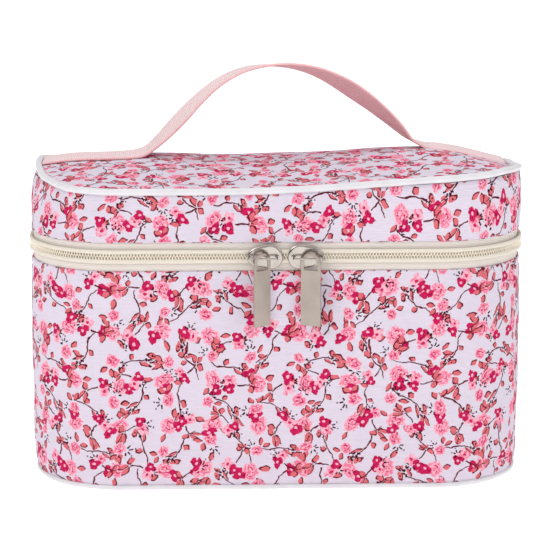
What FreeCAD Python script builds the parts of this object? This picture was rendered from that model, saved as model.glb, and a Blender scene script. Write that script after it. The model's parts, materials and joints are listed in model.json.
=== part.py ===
import FreeCAD, Part
import math
import os

import Sketcher

# A soft-sided train-case makeup bag: a lined, foam-walled body, a zip-round lid on a fabric hinge,
# a ribbon carrying handle, piped edges and two head-to-head zip sliders with hanging pull tabs.
#
# Millimetres, +Z up. The origin is the middle of the resting face of the base, the front (zip sliders)
# faces -Y, and the fabric hinge of the lid is along the back at +Y.
# Walls are built as layers. Each layer is placed by its inset, the distance inwards from the outermost
# fabric face of the bag.

DIMENSIONS = (
    # plan of the bag
    ("bag_width", 225.0),
    ("bag_depth", 150.0),
    ("corner_radius", 42.0),
    ("back_half", 88.0),  # half width of the back panel, where the zip ends
    ("seam_gap", 0.05),  # between neighbouring pieces sewn edge to edge
    # wall layers
    ("fabric", 0.8),
    ("tape_inset", 0.8),
    ("tape_back", 1.35),
    ("foam_inset", 1.4),
    ("foam_back", 4.0),
    ("lining_back", 4.6),
    ("binding_back", 5.25),
    # heights of the body
    ("base_fabric_top", 0.8),
    ("board_top", 2.0),
    ("base_foam_top", 5.0),
    ("base_lining_top", 5.5),
    ("wall_bottom", 2.25),
    ("base_binding_top", 13.0),
    ("foam_top", 93.9),
    ("tape_low", 94.0),
    ("zip_low", 101.5),  # folded fabric edge under the zip
    ("zip_mid", 108.2),
    ("zip_high", 114.2),  # folded fabric edge over the zip
    ("tape_high", 120.0),
    ("band_top", 135.3),
    # zip chain
    ("coil_front", -1.2),
    ("coil_gap", 1.0),
    ("coil_height", 2.65),
    ("tape_gap", 2.1),
    # piping
    ("piping_inset", 1.0),
    ("piping_height", 137.0),
    ("piping_radius", 1.6),
    ("piping_core", 1.1),
    ("foot_piping_radius", 1.1),
    ("foot_piping_core", 0.7),
    ("flange_top_drop", 8.0),
    ("flange_foot_top", 5.4),
    # crowned lid top
    ("crown_rim_inset", 2.65),
    ("crown_rim", 137.0),
    ("crown_mid_inset", 22.0),
    ("crown_mid", 141.0),
    ("crown_top_inset", 50.0),
    ("crown_top", 142.2),
    ("crown_top_radius", 14.0),
    ("top_foam", 3.0),
    ("top_lining", 0.6),
    # ribbon handle
    ("ribbon_width", 20.0),
    ("ribbon_thickness", 1.2),
    ("ribbon_end", 109.0),
    ("foot_left", -67.0),
    ("foot_fillet", 14.0),
    ("arch_slope", 47.0),
    ("arch_radius", 55.0),
    ("arch_height", 42.5),
    ("hinge_rise", 10.5),
    ("strap_gap", 0.95),  # between the sewn ends and the free arch, along X
    # zip sliders
    ("slider_length", 15.8),
    ("slider_nose", 11.4),
    ("slider_tail", 8.6),
    ("rear_wing_trim", 0.8),  # the hidden wing is smaller, clear of the bindings
    ("wing_face", 2.5),  # outer wing face, this far in front of the fabric
    ("wing_thickness", 1.1),
    ("rear_wing_inset", 1.6),
    ("rear_wing_thickness", 0.8),
    ("post_length", 3.6),
    ("post_thickness", 0.6),
    ("sliders_meet", 2.9),
    ("sliders_apart", 2.4),
    ("bail_shift", 0.9),
    ("bail_half", 6.3),
    ("bail_reach", 4.1),
    ("bail_wire", 0.45),
    # pull tabs
    ("tab_width", 9.2),
    ("tab_length", 33.0),
    ("tab_thickness", 0.7),
    ("window_half", 3.2),
    ("window_height", 6.4),
    ("window_play", 1.15),  # bar axis to the top of the window
    ("left_tab_turn", 38.0),
    ("right_tab_turn", -20.0),
    ("left_tab_slide", 0.4),
    ("right_tab_slide", 1.2),
)

SHEET = "Dimensions"
doc = FreeCAD.newDocument("MakeupBag")
sheet = doc.addObject("Spreadsheet::Sheet", SHEET)
for row, (alias, number) in enumerate(DIMENSIONS, start=1):
    sheet.set(f"A{row}", alias)
    sheet.set(f"B{row}", f"{number}")
    sheet.setAlias(f"B{row}", alias)
doc.recompute()
SIZES = dict(DIMENSIONS)
pieces = []


def cell(alias):
    """The expression for one cell of the sheet."""
    return f"{SHEET}.{alias}"


def origin_plane(body, role):
    return [f for f in body.Origin.OriginFeatures if f.Role == role][0]


def new_body(label):
    body = doc.addObject("PartDesign::Body", label)
    body.Label = label
    pieces.append(body)
    return body


def new_sketch(body, name, role="XY_Plane", height=None):
    """A sketch on an origin plane of its body, raised along the plane's normal by an expression."""
    sketch = body.newObject("Sketcher::SketchObject", name)
    sketch.AttachmentSupport = [(origin_plane(body, role), "")]
    sketch.MapMode = "FlatFace"
    if height is not None:
        sketch.setExpression(".AttachmentOffset.Base.z", height)
    return sketch


def bind(sketch, index, name, expression):
    sketch.renameConstraint(index, name)
    sketch.setExpression(f"Constraints.{name}", expression)


def rounded_outline(sketch, tag, inset, radius=None):
    """The plan outline of the bag, moved inwards by the inset expression. It starts and ends at the
    middle of the front, so that a profile can be swept round it."""
    half_w, half_d = SIZES["bag_width"] / 2, SIZES["bag_depth"] / 2
    r = SIZES["corner_radius"]
    v, z = FreeCAD.Vector, FreeCAD.Vector(0, 0, 1)
    cx, cy = half_w - r, half_d - r

    def corner(x, y, start):
        circle = Part.Circle(v(x, y, 0), z, r)
        return Part.ArcOfCircle(circle, math.radians(start), math.radians(start + 90))

    edges = [
        Part.LineSegment(v(0, -half_d, 0), v(cx, -half_d, 0)),
        corner(cx, -cy, -90),
        Part.LineSegment(v(half_w, -cy, 0), v(half_w, cy, 0)),
        corner(cx, cy, 0),
        Part.LineSegment(v(cx, half_d, 0), v(-cx, half_d, 0)),
        corner(-cx, cy, 90),
        Part.LineSegment(v(-half_w, cy, 0), v(-half_w, -cy, 0)),
        corner(-cx, -cy, 180),
        Part.LineSegment(v(-cx, -half_d, 0), v(0, -half_d, 0)),
    ]
    first = sketch.addGeometry(edges, False)[0]
    front, right, back, left, front_end = first, first + 2, first + 4, first + 6, first + 8
    arcs = (first + 1, first + 3, first + 5, first + 7)
    add = sketch.addConstraint
    for k in range(8):
        add(Sketcher.Constraint("Tangent", first + k, 2, first + k + 1, 1))
    add(Sketcher.Constraint("Coincident", front_end, 2, front, 1))
    for line in (front, back, front_end):
        add(Sketcher.Constraint("Horizontal", line))
    for line in (right, left):
        add(Sketcher.Constraint("Vertical", line))
    for arc in arcs[1:]:
        add(Sketcher.Constraint("Equal", arcs[0], arc))
    add(Sketcher.Constraint("PointOnObject", front, 1, -2))
    sizes = (
        ("right", Sketcher.Constraint("DistanceX", -1, 1, right, 1, half_w), "bag_width"),
        ("left", Sketcher.Constraint("DistanceX", left, 1, -1, 1, half_w), "bag_width"),
        ("front", Sketcher.Constraint("DistanceY", front, 1, -1, 1, half_d), "bag_depth"),
        ("back", Sketcher.Constraint("DistanceY", -1, 1, back, 1, half_d), "bag_depth"),
    )
    for side, constraint, alias in sizes:
        bind(sketch, add(constraint), f"{tag}_{side}", f"{cell(alias)} / 2 - ({inset})")
    turn = radius or f"{cell('corner_radius')} - ({inset})"
    bind(sketch, add(Sketcher.Constraint("Radius", arcs[0], r)), f"{tag}_radius", turn)


def polygon(sketch, tag, corners, closed=True):
    """Straight edges through corners given as (x, y) expressions from the sketch's origin."""
    count = len(corners)
    turns = [math.radians(200 + 300 * k / count) for k in range(count)]
    starts = [FreeCAD.Vector(math.cos(a), math.sin(a), 0) for a in turns]
    edges = count if closed else count - 1
    lines = [Part.LineSegment(starts[k], starts[(k + 1) % count]) for k in range(edges)]
    first = sketch.addGeometry(lines, False)[0]
    for k in range(edges if closed else edges - 1):
        following = first + (k + 1) % edges
        sketch.addConstraint(Sketcher.Constraint("Coincident", first + k, 2, following, 1))
    for k, (x, y) in enumerate(corners):
        edge, end = (first + k, 1) if k < edges else (first + k - 1, 2)
        for kind, value, start in (("DistanceX", x, starts[k].x), ("DistanceY", y, starts[k].y)):
            index = sketch.addConstraint(Sketcher.Constraint(kind, -1, 1, edge, end, start))
            bind(sketch, index, f"{tag}_{kind[-1].lower()}{k}", value)


def rectangle(sketch, tag, left, right, low, high):
    polygon(sketch, tag, [(left, low), (right, low), (right, high), (left, high)])


def pad(body, sketch, name, length):
    feature = body.newObject("PartDesign::Pad", name)
    feature.Profile = sketch
    feature.setExpression("Length", length)
    return feature


def keep_back(body, gap=None):
    """Cuts away everything but the back panel's share of a ring: a pocket each side of it, and one in
    front. With gap given, cuts the back panel's share out instead, wider by gap on each side."""
    half = cell("back_half")
    far = f"{cell('bag_width')}"
    cuts = (
        [("window", f"-{half} - ({gap})", f"{half} + ({gap})", "0.1", far)]
        if gap is not None
        else [
            ("front", f"-{far}", far, f"-{far}", "0"),
            ("left", f"-{far}", f"-{half}", "-1", far),
            ("right", half, far, "-1", far),
        ]
    )
    for tag, left, right, low, high in cuts:
        sketch = new_sketch(body, f"{body.Label}_{tag}_cut")
        rectangle(sketch, tag, left, right, low, high)
        pocket = body.newObject("PartDesign::Pocket", f"{body.Label}_{tag}_pocket")
        pocket.Profile = sketch
        pocket.Type = "ThroughAll"
        pocket.Midplane = True


def ring(label, outer, inner, low, high, part="whole"):
    """One wall layer between two insets and two heights: whole, the zip's run (front and sides) or
    the back panel's run."""
    body = new_body(label)
    sketch = new_sketch(body, f"{label}_plan", height=low)
    rounded_outline(sketch, "outer", outer)
    rounded_outline(sketch, "inner", inner)
    pad(body, sketch, f"{label}_wall", f"{high} - ({low})")
    if part == "front":
        keep_back(body, gap=cell("seam_gap"))
    if part == "coil":
        keep_back(body, gap="1")
    if part == "back":
        keep_back(body)
    return body


def plate(label, inset, low, high):
    """One flat layer of the base, as large as the bag's outline moved inwards by the inset."""
    body = new_body(label)
    sketch = new_sketch(body, f"{label}_plan", height=low)
    rounded_outline(sketch, "edge", inset)
    pad(body, sketch, f"{label}_sheet", f"{high} - ({low})")
    return body


def swept_cord(body, tag, height, radius, cut=False):
    """A round cord, or the bore for one, along the piping line at a height."""
    path = new_sketch(body, f"{body.Label}_{tag}_path", height=height)
    rounded_outline(path, "line", cell("piping_inset"))
    profile = new_sketch(body, f"{body.Label}_{tag}_section", role="YZ_Plane")
    y = -SIZES["bag_depth"] / 2
    profile.addGeometry(
        Part.Circle(FreeCAD.Vector(y, 100, 0), FreeCAD.Vector(0, 0, 1), 1.0), False
    )
    places = (
        ("radius", Sketcher.Constraint("Radius", 0, 1.0), radius),
        (
            "out",
            Sketcher.Constraint("DistanceX", 0, 3, -1, 1, -y),
            f"{cell('bag_depth')} / 2 - {cell('piping_inset')}",
        ),
        ("up", Sketcher.Constraint("DistanceY", -1, 1, 0, 3, 100.0), height),
    )
    for name, constraint, expression in places:
        bind(profile, profile.addConstraint(constraint), name, expression)
    kind = "SubtractivePipe" if cut else "AdditivePipe"
    pipe = body.newObject(f"PartDesign::{kind}", f"{body.Label}_{tag}")
    pipe.Profile = profile
    pipe.Spine = path
    return pipe


def piping(label, height, radius, core, flange_low, flange_high):
    """A piped edge: a sewn cover with a flange that is caught in the seam, and the cord inside it."""
    cover = new_body(label)
    swept_cord(cover, "cover", height, radius)
    sketch = new_sketch(cover, f"{label}_flange_plan", height=flange_low)
    rounded_outline(sketch, "outer", cell("tape_inset"))
    rounded_outline(sketch, "inner", cell("tape_back"))
    pad(cover, sketch, f"{label}_flange", f"{flange_high} - ({flange_low})")
    swept_cord(cover, "bore", height, core, cut=True)
    cord = new_body(f"{label}_cord")
    swept_cord(cord, "core", height, f"{core} - {cell('seam_gap')}")


def crown(label, rim_inset, drop, thickness):
    """One domed layer of the lid top, as lofts through four plan outlines."""
    body = new_body(label)
    rim, middle, top = cell("crown_rim"), cell("crown_mid"), cell("crown_top")

    def stack(tag, extra):
        levels = (
            (rim_inset, f"{rim} - {cell('fabric')}", None),
            (rim_inset, rim, None),
            (cell("crown_mid_inset"), middle, None),
            (cell("crown_top_inset"), top, cell("crown_top_radius")),
        )
        made = []
        for number, (inset, height, radius) in enumerate(levels):
            lower = f"{height} - ({drop}) - ({extra})"
            if tag == "under" and number == 0:
                lower = f"{lower} - 1"
            if tag == "over" and number == 0:
                lower = f"{rim} - ({drop}) - ({thickness})"
            sketch = new_sketch(body, f"{label}_{tag}_{number}", height=lower)
            rounded_outline(sketch, "edge", inset, radius)
            made.append(sketch)
        return made

    for tag, extra, kind in (
        ("over", "0", "AdditiveLoft"),
        ("under", thickness, "SubtractiveLoft"),
    ):
        sketches = stack(tag, extra)
        loft = body.newObject(f"PartDesign::{kind}", f"{label}_{tag}_loft")
        loft.Profile = sketches[0]
        loft.Sections = sketches[1:]
        loft.Ruled = True
    return body


def base_and_walls():
    """The body of the bag: layered base, walls, zip tape and coil, hinge cloth and bindings."""
    low, high = cell("wall_bottom"), cell("zip_low")
    ring("body_outer_panel", "0", cell("fabric"), low, high, "front")
    ring("back_outer_panel", "0", cell("fabric"), low, high, "back")
    wall_foot = f"{cell('base_foam_top')} + {cell('seam_gap')}"
    ring("body_foam", cell("foam_inset"), cell("foam_back"), wall_foot, cell("foam_top"))
    lining_top = f"{high} - 0.1"
    ring("body_lining", cell("foam_back"), cell("lining_back"), wall_foot, lining_top)
    inner = f"{cell('foam_back')} - {cell('seam_gap')}"
    ring("body_rim_binding", cell("foam_inset"), inner, cell("tape_low"), lining_top)
    binding_out = f"{cell('lining_back')} + {cell('seam_gap')}"
    binding_low = f"{cell('base_lining_top')} + {cell('seam_gap')}"
    ring(
        "base_seam_binding",
        binding_out,
        cell("binding_back"),
        binding_low,
        cell("base_binding_top"),
    )
    edge = f"{cell('piping_inset')} + {cell('foot_piping_radius')} + {cell('seam_gap')}"
    plate("base_outer_panel", edge, "0", cell("base_fabric_top"))
    plate("base_board", edge, cell("base_fabric_top"), cell("board_top"))
    plate("base_foam", edge, cell("board_top"), cell("base_foam_top"))
    plate("base_lining", binding_out, cell("base_foam_top"), cell("base_lining_top"))
    foot = cell("foot_piping_radius")
    piping(
        "bottom_piping",
        foot,
        foot,
        cell("foot_piping_core"),
        f"2 * {foot} - 0.4",
        cell("flange_foot_top"),
    )
    tape_edge = f"{cell('zip_mid')} - {cell('tape_gap')} / 2"
    tape = (cell("tape_inset"), cell("tape_back"))
    ring("lower_zipper_tape", *tape, cell("tape_low"), tape_edge, "front")
    coil_edge = f"{cell('zip_mid')} - {cell('coil_gap')} / 2"
    coil_foot = f"{coil_edge} - {cell('coil_height')}"
    ring("lower_coil", cell("coil_front"), cell("tape_inset"), coil_foot, coil_edge, "coil")
    hinge_low, hinge_high = f"{high} + {cell('seam_gap')}", f"{cell('zip_high')} - 0.4"
    ring("hinge_outer_strip", "0", cell("fabric"), hinge_low, hinge_high, "back")
    ring("hinge_lining_strip", *tape, hinge_low, hinge_high, "back")


def lid_walls():
    """The lid: band, tape and coil, bindings, piping and the crowned top."""
    low, high = cell("zip_high"), cell("band_top")
    ring("lid_outer_band", "0", cell("fabric"), low, high, "front")
    ring("lid_back_panel", "0", cell("fabric"), low, high, "back")
    foam_low = f"{cell('tape_high')} + 0.1"
    ring("lid_foam_band", cell("foam_inset"), cell("foam_back"), foam_low, high)
    lining_low = f"{low} + 0.1"
    under_crown = (
        f"{cell('crown_rim')} - {cell('fabric')} - {cell('top_foam')} - 0.2"
    )
    ring("lid_lining", cell("foam_back"), cell("lining_back"), lining_low, under_crown)
    inner = f"{cell('foam_back')} - {cell('seam_gap')}"
    ring("lid_rim_binding", cell("foam_inset"), inner, lining_low, cell("tape_high"))
    binding_out = f"{cell('lining_back')} + {cell('seam_gap')}"
    binding_high = f"{under_crown} - {cell('top_lining')}"
    ring(
        "lid_seam_binding",
        binding_out,
        cell("binding_back"),
        f"{binding_high} - 6.5",
        binding_high,
    )
    tape_edge = f"{cell('zip_mid')} + {cell('tape_gap')} / 2"
    tape = (cell("tape_inset"), cell("tape_back"))
    ring("upper_zipper_tape", *tape, tape_edge, cell("tape_high"), "front")
    coil_edge = f"{cell('zip_mid')} + {cell('coil_gap')} / 2"
    coil_head = f"{coil_edge} + {cell('coil_height')}"
    ring("upper_coil", cell("coil_front"), cell("tape_inset"), coil_edge, coil_head, "coil")
    height, radius = cell("piping_height"), cell("piping_radius")
    flange_high = f"{height} - {radius} + 0.4"
    piping(
        "top_piping",
        height,
        radius,
        cell("piping_core"),
        f"{height} - {cell('flange_top_drop')}",
        flange_high,
    )
    fabric, foam = cell("fabric"), cell("top_foam")
    crown("lid_top_panel", cell("crown_rim_inset"), "0", fabric)
    foam_rim = f"{cell('foam_back')} + {cell('seam_gap')}"
    crown("lid_top_foam", foam_rim, fabric, foam)
    crown("lid_top_lining", binding_out, f"{fabric} + {foam}", cell("top_lining"))


def ribbon(label, points, arcs=()):
    """A flat ribbon swept along a centreline in the XZ plane, its width along Y. points are (x, z)
    pairs; arcs gives, for the run that starts at an index, a point half way round its arc."""
    half, width = SIZES["ribbon_thickness"] / 2, SIZES["ribbon_width"]
    bends = dict(arcs)
    places = [FreeCAD.Vector(x, 0, z) for x, z in points]
    edges = []
    for k in range(len(places) - 1):
        if k in bends:
            middle = FreeCAD.Vector(bends[k][0], 0, bends[k][1])
            edges.append(Part.Arc(places[k], middle, places[k + 1]).toShape())
        else:
            edges.append(Part.LineSegment(places[k], places[k + 1]).toShape())
    spine = Part.Wire(edges)
    along = (places[1] - places[0]).normalize()
    if 0 in bends:
        along = edges[0].tangentAt(edges[0].FirstParameter)
    side = FreeCAD.Vector(0, 1, 0)
    up = side.cross(along)
    corners = [
        places[0] + side * (a * width / 2) + up * (b * half)
        for a, b in ((-1, -1), (1, -1), (1, 1), (-1, 1), (-1, -1))
    ]
    section = Part.makePolygon(corners)
    feature = doc.addObject("Part::Feature", label)
    feature.Label = label
    feature.Shape = spine.makePipeShell([section], True, False, 1)
    pieces.append(feature)
    return feature


def crown_height(x):
    """Height of the lid's cloth on the middle line, at a distance x from the centre."""
    s = SIZES
    inset = s["bag_width"] / 2 - abs(x)
    rim = (s["crown_rim_inset"], s["crown_rim"])
    mid = (s["crown_mid_inset"], s["crown_mid"])
    top = (s["crown_top_inset"], s["crown_top"])
    (i0, z0), (i1, z1) = (rim, mid) if inset < mid[0] else (mid, top)
    return z0 + (z1 - z0) * min(1.0, (inset - i0) / (i1 - i0))


def handle():
    """The ribbon handle: two ends sewn flat along the lid top, and the free arch between them. The
    arch starts where its edges clear the lid as it tips over."""
    s = SIZES
    lift = s["ribbon_thickness"] / 2 + s["seam_gap"]
    slope = math.radians(s["arch_slope"])
    rise, run = math.sin(slope), math.cos(slope)
    left = s["foot_left"]
    floor = crown_height(left) + lift
    knee = s["bag_width"] / 2 - s["crown_mid_inset"]
    flat = [(s["ribbon_end"], 0), (knee, 0)]
    flat = [(x, crown_height(x) + lift) for x, _ in flat]
    # the left foot bends up through a fillet, then runs straight to the arch
    bend = s["foot_fillet"]
    bend_end = (left + bend * rise, floor + bend * (1 - run))
    half_way = (left + bend * math.sin(slope / 2), floor + bend * (1 - math.cos(slope / 2)))
    side_top = floor + s["arch_height"] - s["arch_radius"] * (1 - run)
    arc_left = (bend_end[0] + (side_top - bend_end[1]) * run / rise, side_top)
    arc_right = (arc_left[0] + 2 * s["arch_radius"] * rise, side_top)
    crest = ((arc_left[0] + arc_right[0]) / 2, floor + s["arch_height"])
    right = arc_right[0] + (side_top - floor) * run / rise
    free = floor + s["hinge_rise"]
    split_left = (bend_end[0] + (free - bend_end[1]) * run / rise, free)
    split_right = (right - s["hinge_rise"] * run / rise, free)
    left_flat = [(-x, z) for x, z in flat]
    ribbon("handle_end_left", left_flat + [(left, floor), bend_end, split_left], [(2, half_way)])
    right_floor = (right, crown_height(right) + lift)
    ribbon("handle_end_right", flat + [right_floor, split_right])
    gap = s["strap_gap"]
    start = (split_left[0] + gap, split_left[1] + gap * rise / run)
    end = (split_right[0] - gap, split_right[1] + gap * rise / run)
    ribbon("handle_strap", [start, arc_left, arc_right, end], [(1, crest)])
    print("handle: axis height", round(free, 2), "feet", left, round(right, 2))


def slider(name, side):
    """One zip slider: front and rear wings joined by a post that runs between the coils, and a wire
    bail. side is -1 for the left slider and 1 for the right one."""
    front = f"{cell('bag_depth')} / 2"
    near = f"{cell('sliders_meet')} + ({side}) * {cell('sliders_apart')} / 2"
    far = f"{near} + ({side}) * {cell('slider_length')}"
    shoulder = f"{near} + ({side}) * {cell('slider_length')} * 0.2"
    heel = f"{far} - ({side}) * {cell('slider_length')} * 0.1"
    middle = cell("zip_mid")
    nose, tail = f"{cell('slider_nose')} / 2", f"{cell('slider_tail')} / 2"
    body = new_body(f"slider_{name}")
    face = f"{front} + {cell('wing_face')}"
    wing_back = f"{face} - {cell('wing_thickness')}"
    rear = f"{front} - {cell('rear_wing_inset')}"
    def outline(trim):
        """Eight corners: a wide nose towards the middle of the bag, narrowing to the tail."""
        steps = ((near, 0.36, nose), (shoulder, 1.0, nose), (heel, 1.0, tail), (far, 0.7, tail))
        low = [(x, f"{middle} - ({height} - {trim}) * {share}") for x, share, height in steps]
        high = [(x, f"{middle} + ({height} - {trim}) * {share}") for x, share, height in steps]
        return low + high[::-1]

    post_near = f"{near} + ({side}) * 1"
    post_far = f"{post_near} + ({side}) * {cell('post_length')}"
    half_post = f"{cell('post_thickness')} / 2"
    post = [
        (post_near, f"{middle} - {half_post}"),
        (post_far, f"{middle} - {half_post}"),
        (post_far, f"{middle} + {half_post}"),
        (post_near, f"{middle} + {half_post}"),
    ]
    hidden = cell("rear_wing_thickness")
    layers = (
        ("front_wing", outline("0"), wing_back, cell("wing_thickness")),
        ("post", post, f"{rear} - 0.2", f"{wing_back} - ({rear}) + 0.4"),
        ("rear_wing", outline(cell("rear_wing_trim")), f"{rear} - {hidden}", hidden),
    )
    for tag, corners, level, thickness in layers:
        sketch = new_sketch(body, f"{body.Label}_{tag}_outline", "XZ_Plane", level)
        polygon(sketch, tag, corners)
        pad(body, sketch, f"{body.Label}_{tag}", thickness)

    centre = f"{near} + ({side}) * ({cell('slider_length')} / 2 + {cell('bail_shift')})"
    bail = new_body(f"slider_bail_{name}")
    path = new_sketch(bail, f"{bail.Label}_path", "XY_Plane", middle)
    foot, bar = f"-({face} + 0.02)", f"-({face} + {cell('bail_reach')})"
    legs = (f"{centre} - {cell('bail_half')}", f"{centre} + {cell('bail_half')}")
    corners = [(legs[0], foot), (legs[0], bar), (legs[1], bar), (legs[1], foot)]
    polygon(path, "wire", corners, closed=False)
    section = new_sketch(bail, f"{bail.Label}_section", "XZ_Plane", f"{face} + 0.02")
    section.addGeometry(
        Part.Circle(FreeCAD.Vector(1, 1, 0), FreeCAD.Vector(0, 0, 1), 0.5), False
    )
    places = (
        ("radius", Sketcher.Constraint("Radius", 0, 0.5), cell("bail_wire")),
        ("across", Sketcher.Constraint("DistanceX", -1, 1, 0, 3, 1.0), legs[0]),
        ("up", Sketcher.Constraint("DistanceY", -1, 1, 0, 3, 1.0), middle),
    )
    for tag, constraint, expression in places:
        bind(section, section.addConstraint(constraint), tag, expression)
    wire = bail.newObject("PartDesign::AdditivePipe", f"{bail.Label}_wire")
    wire.Profile = section
    wire.Spine = path
    wire.Transition = "Round corner"


def round_topped(sketch, tag, half, top, foot):
    """A plate outline with a half-round top, centred on the sketch's upright axis. half is its half
    width, top the height of its crest and foot its lower edge, as expressions."""
    v, z = FreeCAD.Vector, FreeCAD.Vector(0, 0, 1)
    edges = [
        Part.LineSegment(v(-4, -2, 0), v(-4, -9, 0)),
        Part.LineSegment(v(-4, -9, 0), v(4, -9, 0)),
        Part.LineSegment(v(4, -9, 0), v(4, -2, 0)),
        Part.ArcOfCircle(Part.Circle(v(0, -2, 0), z, 4), 0, math.pi),
    ]
    sketch.addGeometry(edges, False)
    add = sketch.addConstraint
    for k in (0, 1):
        add(Sketcher.Constraint("Coincident", k, 2, k + 1, 1))
    add(Sketcher.Constraint("Tangent", 2, 2, 3, 1))
    add(Sketcher.Constraint("Tangent", 3, 2, 0, 1))
    add(Sketcher.Constraint("Vertical", 0))
    add(Sketcher.Constraint("Horizontal", 1))
    add(Sketcher.Constraint("Vertical", 2))
    add(Sketcher.Constraint("PointOnObject", 3, 3, -2))
    bind(sketch, add(Sketcher.Constraint("Radius", 3, 4)), f"{tag}_radius", half)
    crest = add(Sketcher.Constraint("DistanceY", -1, 1, 3, 3, -2))
    bind(sketch, crest, f"{tag}_crest", f"{top} - ({half})")
    low = add(Sketcher.Constraint("DistanceY", -1, 1, 1, 1, -9))
    bind(sketch, low, f"{tag}_foot", foot)


def pull_tab(name, side):
    """A flat metal tab with a round head and a window that hangs on the bail's bar. It is drawn with
    the bar at its origin and then turned about the vertical to the angle it hangs at."""
    tab = new_body(f"pull_tab_{name}")
    half, reach = f"{cell('tab_width')} / 2", cell("window_half")
    crest = cell("window_play")
    top = f"{crest} + {half} - {reach}"
    sketch = new_sketch(tab, f"{tab.Label}_outline", "XZ_Plane", f"-{cell('tab_thickness')} / 2")
    round_topped(sketch, "plate", half, top, f"{top} - {cell('tab_length')}")
    pad(tab, sketch, f"{tab.Label}_plate", cell("tab_thickness"))
    window = new_sketch(tab, f"{tab.Label}_window_outline", "XZ_Plane")
    round_topped(window, "window", reach, crest, f"{crest} - {cell('window_height')}")
    hole = tab.newObject("PartDesign::Pocket", f"{tab.Label}_window")
    hole.Profile = window
    hole.Type = "ThroughAll"
    hole.Midplane = True
    near = f"{cell('sliders_meet')} + ({side}) * {cell('sliders_apart')} / 2"
    reach = f"{cell('slider_length')} / 2 + {cell('bail_shift')} + {cell(name + '_tab_slide')}"
    upright = FreeCAD.Vector(0, 0, 1)
    tab.Placement = FreeCAD.Placement(FreeCAD.Vector(0, 0, 0), FreeCAD.Rotation(upright, 0.5))
    tab.setExpression("Placement.Base.x", f"{near} + ({side}) * ({reach})")
    bar = f"-({cell('bag_depth')} / 2 + {cell('wing_face')} + {cell('bail_reach')})"
    tab.setExpression("Placement.Base.y", bar)
    tab.setExpression("Placement.Base.z", cell("zip_mid"))
    tab.setExpression("Placement.Rotation.Angle", cell(f"{name}_tab_turn"))


def export():
    doc.recompute()
    os.makedirs("parts", exist_ok=True)
    for feature in doc.Objects:
        bad = [word for word in feature.State if word in ("Invalid", "Error")]
        if bad:
            raise RuntimeError(f"{feature.Label}: {bad}")
    for piece in pieces:
        shape = piece.Shape
        if shape.isNull() or not shape.isValid() or len(shape.Solids) != 1:
            raise RuntimeError(f"{piece.Label}: {len(shape.Solids)} solids")
        shape.exportStep(f"parts/{piece.Label}.step")
        print(f"{piece.Label:24s} {shape.Volume / 1000:9.3f} cm3")


base_and_walls()
lid_walls()
handle()
for name, side in (("left", -1), ("right", 1)):
    slider(name, side)
    pull_tab(name, side)
export()
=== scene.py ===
import json
import math

import bpy
import numpy as np
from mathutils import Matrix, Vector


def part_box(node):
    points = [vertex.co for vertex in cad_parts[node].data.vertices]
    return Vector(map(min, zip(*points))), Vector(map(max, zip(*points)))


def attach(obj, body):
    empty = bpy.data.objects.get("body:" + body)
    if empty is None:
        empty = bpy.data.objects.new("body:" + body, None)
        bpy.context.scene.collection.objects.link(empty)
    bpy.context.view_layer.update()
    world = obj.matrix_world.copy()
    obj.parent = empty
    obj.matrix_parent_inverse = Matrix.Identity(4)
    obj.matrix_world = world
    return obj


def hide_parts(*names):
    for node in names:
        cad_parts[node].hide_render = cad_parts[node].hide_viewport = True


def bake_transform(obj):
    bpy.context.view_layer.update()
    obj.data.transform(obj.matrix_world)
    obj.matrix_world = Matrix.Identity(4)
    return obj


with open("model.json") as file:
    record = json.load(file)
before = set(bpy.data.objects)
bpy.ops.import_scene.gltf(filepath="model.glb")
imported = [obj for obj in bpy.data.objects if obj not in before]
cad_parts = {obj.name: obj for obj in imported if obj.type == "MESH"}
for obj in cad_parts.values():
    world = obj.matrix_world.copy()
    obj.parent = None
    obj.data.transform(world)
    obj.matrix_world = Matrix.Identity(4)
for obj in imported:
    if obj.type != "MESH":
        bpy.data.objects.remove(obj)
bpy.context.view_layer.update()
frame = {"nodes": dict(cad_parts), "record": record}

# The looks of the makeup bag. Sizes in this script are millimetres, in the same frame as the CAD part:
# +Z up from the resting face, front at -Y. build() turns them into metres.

# plan of the bag, as in the CAD part
WIDTH, DEPTH, CORNER = 225.0, 150.0, 42.0
STRAIGHT_X = WIDTH / 2 - CORNER
STRAIGHT_Y = DEPTH / 2 - CORNER
ARC = CORNER * math.pi / 2
ROUND = 4 * (STRAIGHT_X + STRAIGHT_Y + ARC)  # length once round the bag
BACK_HALF = 88.0
BACK_RUN = STRAIGHT_X + CORNER * math.asin((BACK_HALF - STRAIGHT_X) / CORNER)
ZIP_RUN = ROUND / 2 - BACK_RUN  # from the middle of the front to the end of the zip

# heights
ZIP_LOW, ZIP_MID, ZIP_HIGH = 101.5, 108.2, 114.2
FOOT_PIPING, TOP_PIPING = 1.2, 137.0
PANEL_FOOT, BAND_TOP = 2.0, 135.6  # lower edge of the body's cloth, upper edge of the lid band's
BODY_STITCH, LID_STITCH = 98.3, 117.4

CLOTH = 0.85
SEAM_GAP = 0.05
MM = 0.001  # a millimetre in Blender's metres
UV_UNIT = 100.0  # millimetres of cloth in one unit of the Cloth UV map

# the soft lid, against the CAD lid
RIGHT_RISE, MIDDLE_RISE = 6.3, 2.6
END_DROP = 5.6
SAG_SLOPE, SAG_SOFTNESS = 0.16, 120.0
LEAN, LEAN_PLACE, LEAN_REACH = 6.5, -120.0, 28.0
BULGE, BULGE_PLACE, BULGE_REACH = 1.7, -152.0, 26.0
RIM_INSET = 2.6
CROWN = 3.0
RIDGE = (WIDTH - DEPTH) / 2  # half the length of the line along the middle where the crown is level


# ---- shapes

def smoothstep(t):
    t = np.clip(t, 0, 1)
    return t * t * (3 - 2 * t)


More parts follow.
